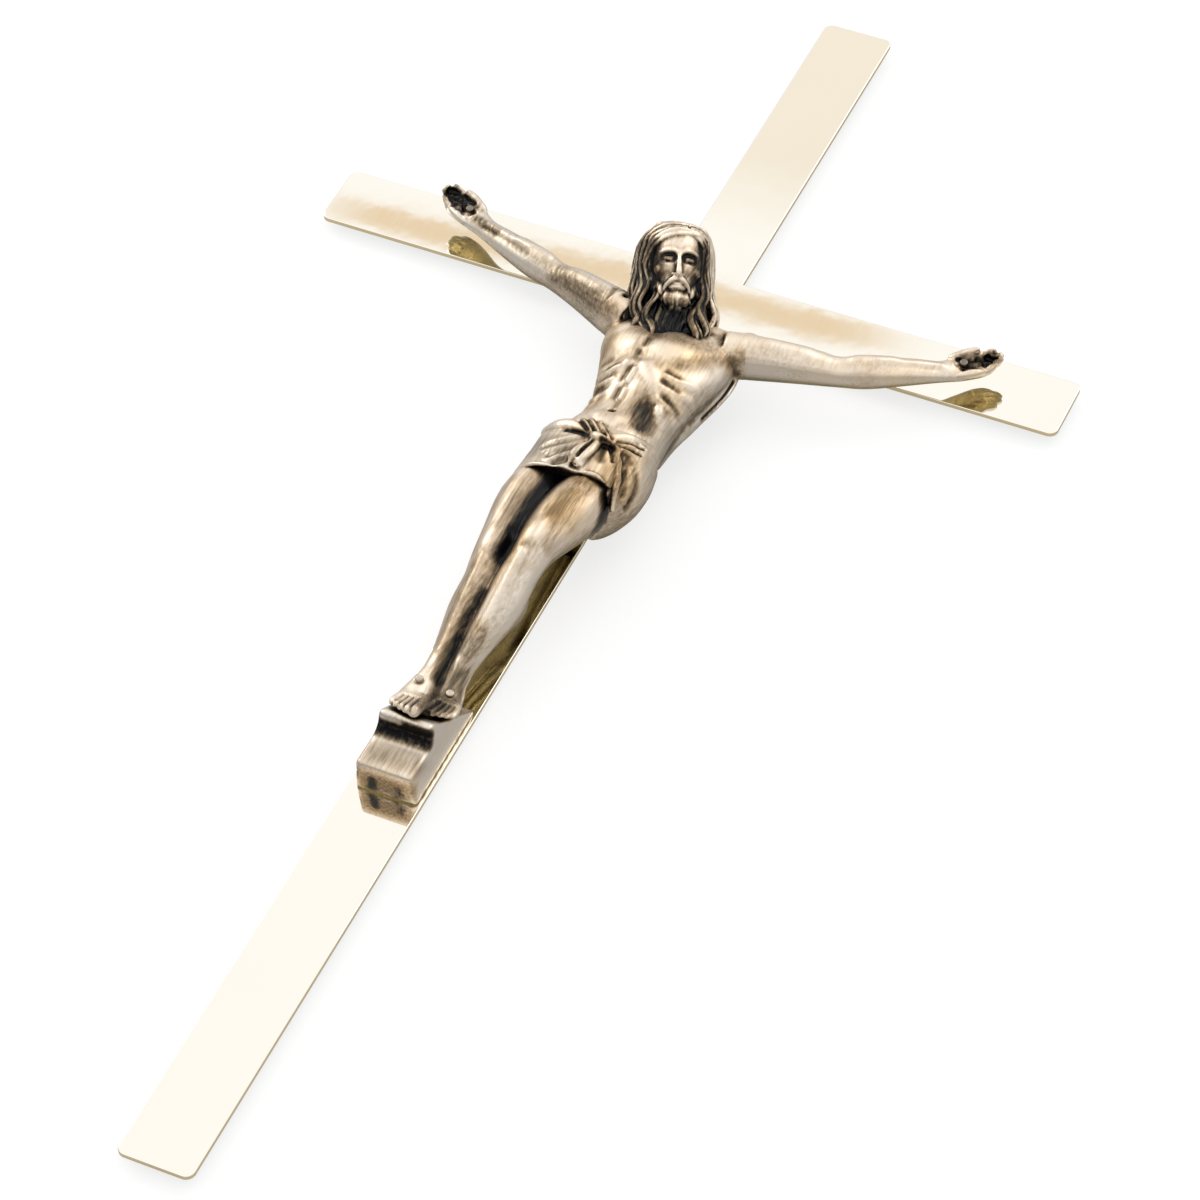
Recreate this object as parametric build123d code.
"""A wall crucifix: a stamped brass cross plate, a cast corpus in five pieces, and a ring hanger behind.

Frame: +X to the viewer's right, +Z up as it hangs, -Y out of the wall towards the viewer.
The plate's back face lies in the plane Y = 0, and the origin is at the height of the hanger's hinge.
The figure follows its own canon: its tables hold shares of one unit, the height of the head.
"""

from build123d import *
import os

# Cross plate
PLATE_HEIGHT = 420.0
PLATE_SPAN = 214.0
STRIP_WIDTH = 20.0
PLATE_THICKNESS = 1.2
CROSSING_DROP = 115.0
CORNER_RADIUS = 2.4
EDGE_ROUND = 0.3

# Figure and its castings
FIGURE_UNIT = 25.0
CASTING_WALL = 2.0
SPIGOT_RADIUS = 2.2
SPIGOT_LENGTH = 6.0
NECK_SPIGOT_RADIUS = 2.6
PEG_RADIUS = 1.1
PEG_LENGTH = 3.0
FIT_CLEARANCE = 0.05
HEAD_TILT = 18.0
HEAD_BOW = 28.0
HEAD_TURN = 12.0

# Fixing screws, washers and the bosses that they enter
SCREW_RADIUS = 1.5
SCREW_LENGTH = 10.0
SCREW_HEAD_RADIUS = 2.8
SCREW_HEAD_HEIGHT = 1.8
DRIVE_SLOT_WIDTH = 0.7
DRIVE_SLOT_DEPTH = 0.9
PLATE_HOLE_RADIUS = 1.7
WASHER_RADIUS = 3.5
WASHER_THICKNESS = 0.5
BOSS_RADIUS = 3.2

# Nails through the hands and the feet
NAIL_HEAD_RADIUS = 1.1
NAIL_HEAD_HEIGHT = 0.8
NAIL_SHANK_RADIUS = 0.5
NAIL_SHANK_LENGTH = 2.2

# Hanger: a rolled strap soldered to the plate's back, and a D-shaped wire ring
HANGER_DROP = 28.0
RING_WIRE_RADIUS = 0.8
RING_WIDTH = 13.0
RING_REACH = 12.0
RING_SHOULDER_RADIUS = 2.2
STRAP_WIDTH = 6.0
STRAP_LENGTH = 8.0
STRAP_THICKNESS = 0.6

OVERRUN = 5.0

# Places that follow from the sizes above
TOP_Z = HANGER_DROP
CROSSING_Z = TOP_Z - CROSSING_DROP
BOTTOM_Z = TOP_Z - PLATE_HEIGHT
FRONT_Y = -PLATE_THICKNESS
UNIT = FIGURE_UNIT

# Torso levels: up, across, half width, front and back distance from the plate
TORSO_SHARES = (
    (-0.66, 0.19, 0.20, 0.50, 0.24),
    (-0.78, 0.22, 0.54, 0.58, 0.18),
    (-0.98, 0.26, 0.68, 0.66, 0.14),
    (-1.26, 0.30, 0.73, 0.79, 0.12),
    (-1.58, 0.33, 0.68, 0.89, 0.12),
    (-2.00, 0.35, 0.56, 0.87, 0.12),
    (-2.36, 0.36, 0.49, 0.81, 0.12),
    (-2.72, 0.30, 0.55, 0.85, 0.12),
    (-3.12, 0.25, 0.61, 0.90, 0.12),
    (-3.50, 0.21, 0.58, 0.89, 0.16),
    (-3.80, 0.19, 0.44, 0.80, 0.30),
)
CAVITY_LEVELS = slice(3, 9)
CAVITY_TOP_SHARE = -1.32
REAR_RIM_SHARE = 0.22

# Leg levels: up, across, out, half width, half depth
LEFT_LEG_SHARES = (
    (-3.28, -0.07, 0.52, 0.29, 0.32),
    (-3.88, -0.13, 0.58, 0.29, 0.32),
    (-4.40, -0.11, 0.62, 0.24, 0.26),
    (-4.74, -0.09, 0.62, 0.22, 0.235),
    (-5.00, -0.08, 0.57, 0.20, 0.215),
    (-5.32, -0.09, 0.47, 0.205, 0.22),
    (-5.68, -0.09, 0.40, 0.155, 0.17),
    (-6.04, -0.08, 0.37, 0.125, 0.145),
    (-6.24, -0.08, 0.36, 0.145, 0.175),
    (-6.52, -0.08, 0.42, 0.185, 0.145),
    (-6.76, -0.08, 0.54, 0.165, 0.08),
)
RIGHT_LEG_SHARES = (
    (-3.28, 0.44, 0.52, 0.29, 0.32),
    (-3.84, 0.44, 0.67, 0.30, 0.33),
    (-4.28, 0.37, 0.75, 0.26, 0.28),
    (-4.60, 0.32, 0.79, 0.225, 0.245),
    (-4.88, 0.29, 0.72, 0.205, 0.22),
    (-5.24, 0.26, 0.57, 0.21, 0.225),
    (-5.64, 0.20, 0.45, 0.155, 0.165),
    (-6.00, 0.16, 0.37, 0.125, 0.14),
    (-6.22, 0.17, 0.30, 0.14, 0.17),
    (-6.42, 0.20, 0.33, 0.165, 0.14),
    (-6.61, 0.22, 0.43, 0.155, 0.08),
)

# Arm stations: across, up, out, half height, half depth. The first is inside the shoulder.
LEFT_ARM_SHARES = (
    (-0.26, -1.02, 0.46, 0.27, 0.27),
    (-0.50, -0.92, 0.46, 0.255, 0.26),
    (-0.94, -0.74, 0.43, 0.205, 0.21),
    (-1.32, -0.60, 0.39, 0.17, 0.175),
    (-1.62, -0.49, 0.37, 0.175, 0.175),
    (-2.06, -0.31, 0.345, 0.13, 0.13),
    (-2.34, -0.19, 0.33, 0.105, 0.09),
    (-2.70, 0.00, 0.33, 0.165, 0.085),
    (-2.92, 0.10, 0.33, 0.145, 0.075),
    (-3.08, 0.17, 0.335, 0.08, 0.05),
)
RIGHT_ARM_SHARES = (
    (0.82, -1.02, 0.42, 0.25, 0.27),
    (1.08, -0.95, 0.42, 0.235, 0.25),
    (1.52, -0.85, 0.40, 0.205, 0.21),
    (2.00, -0.74, 0.37, 0.17, 0.175),
    (2.28, -0.62, 0.35, 0.175, 0.175),
    (2.70, -0.40, 0.32, 0.13, 0.13),
    (2.94, -0.28, 0.30, 0.105, 0.09),
    (3.22, -0.05, 0.27, 0.165, 0.085),
    (3.39, 0.12, 0.24, 0.145, 0.075),
    (3.50, 0.27, 0.22, 0.08, 0.05),
)
SEAM_STATION = 1
PALM_STATION = 7

# Loincloth levels: up, across, half width, front and back, fold depth, drop of the right side
CLOTH_SHARES = (
    (-2.62, 0.28, 0.58, 0.87, 0.12, 0.000, -0.14),
    (-2.90, 0.25, 0.66, 0.96, 0.12, 0.010, -0.04),
    (-3.24, 0.25, 0.67, 1.00, 0.12, 0.018, 0.10),
    (-3.56, 0.23, 0.67, 1.01, 0.14, 0.025, 0.26),
)
CLOTH_FOLDS = 7
POINTS_PER_FOLD = 4
KNOT_CENTRE_SHARES = (0.24, -2.94, 0.92)
KNOT_SIZE_SHARES = (0.13, 0.10, 0.15)
TAIL_SHARES = (
    (0.20, -3.00, 0.97, 0.07, 0.05),
    (0.15, -3.30, 1.02, 0.10, 0.05),
    (0.10, -3.54, 1.04, 0.12, 0.05),
)

# Head, in its own frame: origin between the ears, -Y towards the face
HEAD_CENTRE_SHARES = (-0.04, -0.36, 0.77)
# Hair levels: up, back, half width, half depth
HAIR_SHARES = (
    (0.46, 0.04, 0.12, 0.14),
    (0.39, 0.03, 0.27, 0.31),
    (0.24, 0.04, 0.38, 0.40),
    (0.04, 0.07, 0.41, 0.38),
    (-0.20, 0.08, 0.43, 0.36),
    (-0.50, -0.02, 0.46, 0.36),
    (-0.80, -0.16, 0.43, 0.34),
    (-1.02, -0.28, 0.34, 0.26),
)
# Face levels, forehead to the tip of the beard: up, back, half width, half depth
FACE_SHARES = (
    (0.30, -0.14, 0.22, 0.24),
    (0.12, -0.18, 0.28, 0.25),
    (-0.12, -0.18, 0.27, 0.25),
    (-0.34, -0.20, 0.20, 0.22),
    (-0.54, -0.22, 0.10, 0.14),
)
# Nose levels, bridge to tip: up, forward, half width
NOSE_SHARES = ((0.08, 0.40, 0.03), (-0.08, 0.48, 0.055), (-0.13, 0.44, 0.06))
NECK_RADIUS_SHARE = 0.19
NECK_FOOT_SHARES = (0.18, -0.90, 0.46)

# Footrest: levels and reaches from the plate, and the half widths of its base and its lip
FOOTREST_TOP_SHARE = -6.12
FOOTREST_LIP_SHARE = -6.88
FOOTREST_COVE_SHARE = -7.09
FOOTREST_BASE_SHARE = -7.45
LIP_REACH_SHARE = 0.60
LIP_DEPTH_SHARE = 0.08
COVE_REACH_SHARE = 0.38
FACE_REACH_SHARE = 0.40
COVE_BULGE_SHARE = 0.04
BASE_HALF_WIDTH_SHARE = 0.335
LIP_HALF_WIDTH_SHARE = 0.29
FOOTREST_ACROSS_SHARE = 0.03
FOOTREST_ROUND_SHARE = 0.028

# Places of the fixings and the nails on the figure
BODY_SCREW_SHARES = (0.16, -1.76)
BODY_BOSS_REACH_SHARE = 0.80
FOOTREST_SCREW_SHARE = -7.22
PEG_PLACE_SHARES = ((-0.08, 0.62), (0.22, 0.52))
FOOT_NAIL_SHARES = ((-0.10, -6.36, 0.53), (0.22, -6.34, 0.43))
HAND_NAIL_SETBACK_SHARE = 0.10


def at(across, up, out):
    """A point of the figure, given in shares of its unit from the crossing's front face."""
    return Vector(across * UNIT, FRONT_Y - out * UNIT, CROSSING_Z + up * UNIT)


def level(across, up, out, half_width, half_depth):
    """A horizontal elliptical section of the figure."""
    return Plane(at(across, up, out)) * Ellipse(half_width * UNIT, half_depth * UNIT)


def trunk_level(up, across, half_width, front, back):
    """A horizontal section from its front and back distance to the plate."""
    return level(across, up, (front + back) / 2, half_width, (front - back) / 2)


def drill(radius, start, direction, length):
    """A cylinder from a point along a direction, for bores, spigots and pegs."""
    return extrude(Plane(origin=start, z_dir=direction) * Circle(radius), amount=length)


def cross_plate():
    """The stamped plate: two strips in one sheet, rounded at its corners, with two screw holes."""
    upright = Pos(0, (TOP_Z + BOTTOM_Z) / 2) * Rectangle(STRIP_WIDTH, PLATE_HEIGHT)
    crossbar = Pos(0, CROSSING_Z) * Rectangle(PLATE_SPAN, STRIP_WIDTH)
    outline = Sketch() + [upright, crossbar]
    inner = STRIP_WIDTH / 2 + EDGE_ROUND
    ends = [v for v in outline.vertices() if max(abs(v.X), abs(v.Y - CROSSING_Z)) > inner]
    outline = fillet(ends, CORNER_RADIUS)
    sheet = extrude(Plane.XZ * outline, amount=PLATE_THICKNESS)
    front_edges = sheet.edges().filter_by_position(Axis.Y, FRONT_Y, FRONT_Y)
    sheet = fillet(front_edges, EDGE_ROUND)
    for place in screw_places():
        sheet -= drill(PLATE_HOLE_RADIUS, place + Vector(0, OVERRUN, 0), (0, -1, 0), PLATE_THICKNESS + 2 * OVERRUN)
    return sheet


def screw_places():
    """The two screw axes, as points on the plate's front face."""
    across, up = BODY_SCREW_SHARES
    return at(across, up, 0), at(FOOTREST_ACROSS_SHARE, FOOTREST_SCREW_SHARE, 0)


def footrest_profile():
    """Side outline of the footrest: sloped top, lip, cove, front face and underside."""
    top = at(0, FOOTREST_TOP_SHARE, 0)
    lip = at(0, FOOTREST_LIP_SHARE, LIP_REACH_SHARE)
    under_lip = at(0, FOOTREST_LIP_SHARE - LIP_DEPTH_SHARE, LIP_REACH_SHARE)
    cove = at(0, FOOTREST_COVE_SHARE, COVE_REACH_SHARE)
    cove_middle = (under_lip + cove) / 2 + Vector(0, COVE_BULGE_SHARE * UNIT, COVE_BULGE_SHARE * UNIT)
    face_end = at(0, FOOTREST_BASE_SHARE, FACE_REACH_SHARE)
    base = at(0, FOOTREST_BASE_SHARE, 0)
    outline = [
        Line(top, lip),
        Line(lip, under_lip),
        ThreePointArc(under_lip, cove_middle, cove),
        Line(cove, face_end),
        Line(face_end, base),
        Line(base, top),
    ]
    return make_face(outline)


def footrest_block():
    """The outer form of the footrest, its sides drawn in towards the lip."""
    base_half = BASE_HALF_WIDTH_SHARE * UNIT
    lip_half = LIP_HALF_WIDTH_SHARE * UNIT
    reach = LIP_REACH_SHARE * UNIT
    block = extrude(footrest_profile(), amount=base_half, both=True)
    sides = Polyline(
        (base_half, FRONT_Y),
        (lip_half, FRONT_Y - reach),
        (-lip_half, FRONT_Y - reach),
        (-base_half, FRONT_Y),
        close=True,
    )
    draft = extrude(make_face(sides), amount=PLATE_HEIGHT, both=True)
    return Pos(FOOTREST_ACROSS_SHARE * UNIT, 0, 0) * (block & draft)


def rounded_block():
    """The footrest's outer form with its front edges rounded."""
    block = footrest_block()
    edges = [e for e in block.edges() if e.center().Y < FRONT_Y - EDGE_ROUND]
    return fillet(edges, FOOTREST_ROUND_SHARE * UNIT)


def slope_frame(place):
    """The plane of the footrest's top at one peg: across share, and share of the way to the lip."""
    across, along = place
    top = at(across, FOOTREST_TOP_SHARE, 0)
    lip = at(across, FOOTREST_LIP_SHARE, LIP_REACH_SHARE)
    point = top + (lip - top) * along
    normal = Vector(1, 0, 0).cross(lip - top).normalized()
    return point, normal if normal.Z > 0 else -normal


def footrest():
    """The footrest casting: hollow from behind, with a screw boss and two peg holes."""
    block = footrest_block()
    back = block.faces().sort_by(Axis.Y)[-1]
    shell = offset(block, amount=-CASTING_WALL, openings=back)
    hollow = block - shell
    start = screw_places()[1]
    boss = drill(BOSS_RADIUS, start, (0, -1, 0), FACE_REACH_SHARE * UNIT - CASTING_WALL / 2)
    casting = rounded_block() - hollow + boss
    casting -= drill(SCREW_RADIUS + FIT_CLEARANCE, start, (0, -1, 0), screw_grip())
    for place in PEG_PLACE_SHARES:
        point, normal = slope_frame(place)
        casting -= drill(PEG_RADIUS + FIT_CLEARANCE, point + normal * OVERRUN, -normal, PEG_LENGTH + OVERRUN)
    return casting


def screw_grip():
    """How deep a screw's end reaches past the plate's front face, with room beyond its tip."""
    return SCREW_LENGTH - PLATE_THICKNESS - WASHER_THICKNESS + FIT_CLEARANCE


def arm_planes(shares):
    """Section planes square to an arm's line, from the shoulder out."""
    points = [at(across, up, out) for across, up, out, _, _ in shares]
    planes = []
    for i, point in enumerate(points):
        ahead = points[min(i + 1, len(points) - 1)]
        behind = points[max(i - 1, 0)]
        along = (ahead - behind).normalized()
        planes.append(Plane(origin=point, x_dir=Vector(0, 1, 0).cross(along), z_dir=along))
    return planes


def whole_arm(shares):
    """An arm from inside the shoulder to the fingertips, and the plane of its shoulder seam."""
    planes = arm_planes(shares)
    sections = [p * Ellipse(s[3] * UNIT, s[4] * UNIT) for p, s in zip(planes, shares)]
    return loft(sections), planes[SEAM_STATION]


def leg(shares):
    """One leg, hip to toes."""
    return loft([level(across, up, out, a, b) for up, across, out, a, b in shares])


def cloth_level(up, across, half_width, front, back, fold, drop):
    """A section of the loincloth: an ellipse with rounded folds, lower on the right."""
    out = (front + back) / 2
    count = CLOTH_FOLDS * POINTS_PER_FOLD
    points = []
    for i in range(count):
        turn = Vector(1, 0, 0).rotate(Axis.Z, 360 * i / count)
        wave = Vector(1, 0, 0).rotate(Axis.Z, 360 * i / POINTS_PER_FOLD).X
        x = turn.X * (half_width + fold * wave)
        y = turn.Y * ((front - back) / 2 + fold * wave)
        points.append(at(across + x, up - drop * x / half_width / 2, out - y))
    return Face(Wire(Spline(*points, periodic=True)))


def loincloth():
    """The cloth wrapped round the hips, with its knot and hanging tail."""
    wrap = loft([cloth_level(*row) for row in CLOTH_SHARES])
    wide, tall, deep = KNOT_SIZE_SHARES
    knot = Pos(*at(*KNOT_CENTRE_SHARES)) * scale(Sphere(UNIT), by=(wide, deep, tall))
    tail = loft([level(*row) for row in TAIL_SHARES])
    return wrap + knot + tail


def torso():
    """The torso from the base of the neck to the hips, as a filled form."""
    return loft([trunk_level(*row) for row in TORSO_SHARES])


def trunk():
    """Torso and loincloth, cut flat behind where the casting is open."""
    rim = Plane(origin=at(0, 0, REAR_RIM_SHARE), z_dir=(0, -1, 0))
    return split(torso() + loincloth(), bisect_by=rim, keep=Keep.TOP)


def cavity():
    """The hollow behind the chest, belly and hips, one wall inside the torso."""
    inner = []
    for up, across, half_width, front, back in TORSO_SHARES[CAVITY_LEVELS]:
        out = (front + back) / 2
        half_depth = (front - back) / 2 * UNIT - CASTING_WALL
        section = Ellipse(half_width * UNIT - CASTING_WALL, half_depth)
        inner.append(Plane(at(across, min(up, CAVITY_TOP_SHARE), out)) * section)
    return loft(inner)


def body_casting(arms):
    """Torso, loincloth and legs in one hollow casting, with sockets, foot pegs and a screw boss."""
    solid = trunk()
    for shares in (LEFT_LEG_SHARES, RIGHT_LEG_SHARES):
        solid += leg(shares)
    for whole, seam in arms:
        solid += split(whole, bisect_by=seam, keep=Keep.BOTTOM)
    solid -= cavity()
    start = screw_places()[0]
    solid += drill(BOSS_RADIUS, start, (0, -1, 0), BODY_BOSS_REACH_SHARE * UNIT)
    solid -= drill(SCREW_RADIUS + FIT_CLEARANCE, start, (0, -1, 0), screw_grip())
    for _, seam in arms:
        socket = SPIGOT_RADIUS + FIT_CLEARANCE
        solid -= drill(socket, seam.origin, -seam.z_dir, SPIGOT_LENGTH + FIT_CLEARANCE)
    return solid


def head_frame():
    """Where the head sits: tilted to the viewer's left, bowed and a little turned."""
    return Pos(*at(*HEAD_CENTRE_SHARES)) * Rot(0, -HEAD_TILT, 0) * Rot(HEAD_BOW, 0, HEAD_TURN)


def head_casting():
    """Hair, face, beard and neck, before they are fitted to the shoulders."""
    hair = loft([Pos(0, y * UNIT, z * UNIT) * Ellipse(a * UNIT, b * UNIT) for z, y, a, b in HAIR_SHARES])
    face = loft([Pos(0, y * UNIT, z * UNIT) * Ellipse(a * UNIT, b * UNIT) for z, y, a, b in FACE_SHARES])
    nose = loft([Pos(0, -y * UNIT, z * UNIT) * Circle(a * UNIT) for z, y, a in NOSE_SHARES])
    head = head_frame() * (hair + face + nose)
    foot, axis = neck_axis()
    return head + drill(NECK_RADIUS_SHARE * UNIT, foot, axis, neck_length())


def neck_axis():
    """The foot of the neck inside the shoulders, and the direction up to the head."""
    foot = at(*NECK_FOOT_SHARES)
    return foot, (at(*HEAD_CENTRE_SHARES) - foot).normalized()


def neck_length():
    """From the foot of the neck to the middle of the head."""
    return (at(*HEAD_CENTRE_SHARES) - at(*NECK_FOOT_SHARES)).length


def nail_set(point, direction):
    """One nail: a domed head and its shank."""
    head = drill(NAIL_HEAD_RADIUS, point, direction, NAIL_HEAD_HEIGHT)
    rim = head.edges().sort_by(Axis(point, direction))[-1]
    head = fillet(rim, NAIL_HEAD_HEIGHT / 2)
    return head + drill(NAIL_SHANK_RADIUS, point, -direction, NAIL_SHANK_LENGTH)


def nail_seat(point, direction):
    """The bore and spot face that a nail sits in."""
    bore = drill(NAIL_SHANK_RADIUS + FIT_CLEARANCE, point, -direction, NAIL_SHANK_LENGTH + FIT_CLEARANCE)
    return bore + drill(NAIL_HEAD_RADIUS + FIT_CLEARANCE, point, direction, OVERRUN)


def hand_nail_place(shares):
    """A nail in the heel of the palm: a point just under its skin, and the way out of it."""
    across, up, out, _, half_depth = shares[PALM_STATION]
    wrist = shares[PALM_STATION - 1]
    back = HAND_NAIL_SETBACK_SHARE
    toward = (at(*wrist[:3]) - at(across, up, out)).normalized() * back * UNIT
    skin = at(across, up, out + half_depth) + toward
    return skin + Vector(0, NAIL_HEAD_HEIGHT / 2, 0), Vector(0, -1, 0)


def fixing_screw(place):
    """A slotted pan-head screw driven from behind the plate."""
    seat = place + Vector(0, PLATE_THICKNESS + WASHER_THICKNESS, 0)
    head = drill(SCREW_HEAD_RADIUS, seat, (0, 1, 0), SCREW_HEAD_HEIGHT)
    outer = head.edges().sort_by(Axis.Y)[-1]
    head = fillet(outer, SCREW_HEAD_HEIGHT / 2)
    slot = Box(2 * (SCREW_HEAD_RADIUS + OVERRUN), 2 * DRIVE_SLOT_DEPTH, DRIVE_SLOT_WIDTH)
    head -= Pos(*(seat + Vector(0, SCREW_HEAD_HEIGHT, 0))) * slot
    return head + drill(SCREW_RADIUS, seat, (0, -1, 0), SCREW_LENGTH)


def fixing_washer(place):
    """A plain washer between the screw's head and the plate's back."""
    seat = place + Vector(0, PLATE_THICKNESS, 0)
    disc = drill(WASHER_RADIUS, seat, (0, 1, 0), WASHER_THICKNESS)
    return disc - drill(PLATE_HOLE_RADIUS, seat - Vector(0, OVERRUN, 0), (0, 1, 0), 2 * OVERRUN + WASHER_THICKNESS)


def hinge_y():
    """Distance of the ring's hinge axis behind the plate: the strap's eye touches the plate."""
    return RING_WIRE_RADIUS + FIT_CLEARANCE + STRAP_THICKNESS


def hanger_strap():
    """A strip soldered flat to the plate, its lower end rolled into an eye round the ring's bar."""
    eye = hinge_y()
    leaf = Pos(0, STRAP_THICKNESS / 2, STRAP_LENGTH / 2) * Box(STRAP_WIDTH, STRAP_THICKNESS, STRAP_LENGTH)
    roll = drill(eye, Vector(-STRAP_WIDTH / 2, eye, 0), (1, 0, 0), STRAP_WIDTH)
    bore_start = Vector(-STRAP_WIDTH / 2 - OVERRUN, eye, 0)
    bore = drill(RING_WIRE_RADIUS + FIT_CLEARANCE, bore_start, (1, 0, 0), STRAP_WIDTH + 2 * OVERRUN)
    return leaf + roll - bore


def hanger_ring():
    """A D-shaped wire ring that hangs from the strap's eye by its straight bar."""
    half = RING_WIDTH / 2
    shoulder = RING_SHOULDER_RADIUS
    bend_z = half - RING_REACH
    diagonal = shoulder * (1 - 1 / 2**0.5)
    bar = Line((-half + shoulder, 0), (half - shoulder, 0))
    right_turn = ThreePointArc((half - shoulder, 0), (half - diagonal, -diagonal), (half, -shoulder))
    right_side = Line((half, -shoulder), (half, bend_z))
    bow = ThreePointArc((half, bend_z), (0, -RING_REACH), (-half, bend_z))
    left_side = Line((-half, bend_z), (-half, -shoulder))
    left_turn = ThreePointArc((-half, -shoulder), (-half + diagonal, -diagonal), (-half + shoulder, 0))
    route = Wire([bar, right_turn, right_side, bow, left_side, left_turn])
    section = Plane.YZ * Circle(RING_WIRE_RADIUS)
    ring = sweep(section, path=Plane.XZ * route)
    return Pos(0, hinge_y(), 0) * ring


def build():
    """Every piece, by the name of its node."""
    left = whole_arm(LEFT_ARM_SHARES)
    right = whole_arm(RIGHT_ARM_SHARES)
    body = body_casting((left, right))
    body -= rounded_block()
    for place in PEG_PLACE_SHARES:
        point, normal = slope_frame(place)
        body += drill(PEG_RADIUS, point - normal * PEG_LENGTH, normal, 2 * PEG_LENGTH)
    neck_foot, neck_up = neck_axis()
    body -= drill(NECK_SPIGOT_RADIUS + FIT_CLEARANCE, neck_foot, neck_up, neck_length())
    head = head_casting() - torso() - left[0] - right[0]
    head += drill(NECK_SPIGOT_RADIUS, neck_foot + neck_up * FIT_CLEARANCE, neck_up, neck_length())
    parts = {"cross_plate": cross_plate(), "footrest": footrest()}
    nails = []
    for name, (whole, seam), shares in (
        ("left_arm", left, LEFT_ARM_SHARES),
        ("right_arm", right, RIGHT_ARM_SHARES),
    ):
        arm = split(whole, bisect_by=seam, keep=Keep.TOP)
        arm += drill(SPIGOT_RADIUS, seam.origin, -seam.z_dir, SPIGOT_LENGTH)
        arm -= nail_seat(*hand_nail_place(shares))
        nails.append(nail_set(*hand_nail_place(shares)))
        parts[name] = arm
    parts["hand_nails"] = Compound(children=nails)
    foot_nails = []
    for place in FOOT_NAIL_SHARES:
        body -= nail_seat(at(*place), Vector(0, -1, 0))
        foot_nails.append(nail_set(at(*place), Vector(0, -1, 0)))
    parts["foot_nails"] = Compound(children=foot_nails)
    parts["body"] = body
    parts["head"] = head
    parts["fixing_screws"] = Compound(children=[fixing_screw(p) for p in screw_places()])
    parts["fixing_washers"] = Compound(children=[fixing_washer(p) for p in screw_places()])
    parts["hanger_strap"] = hanger_strap()
    parts["hanger_ring"] = hanger_ring()
    return parts


os.makedirs("parts", exist_ok=True)
for node, shape in build().items():
    export_step(shape, f"parts/{node}.step")
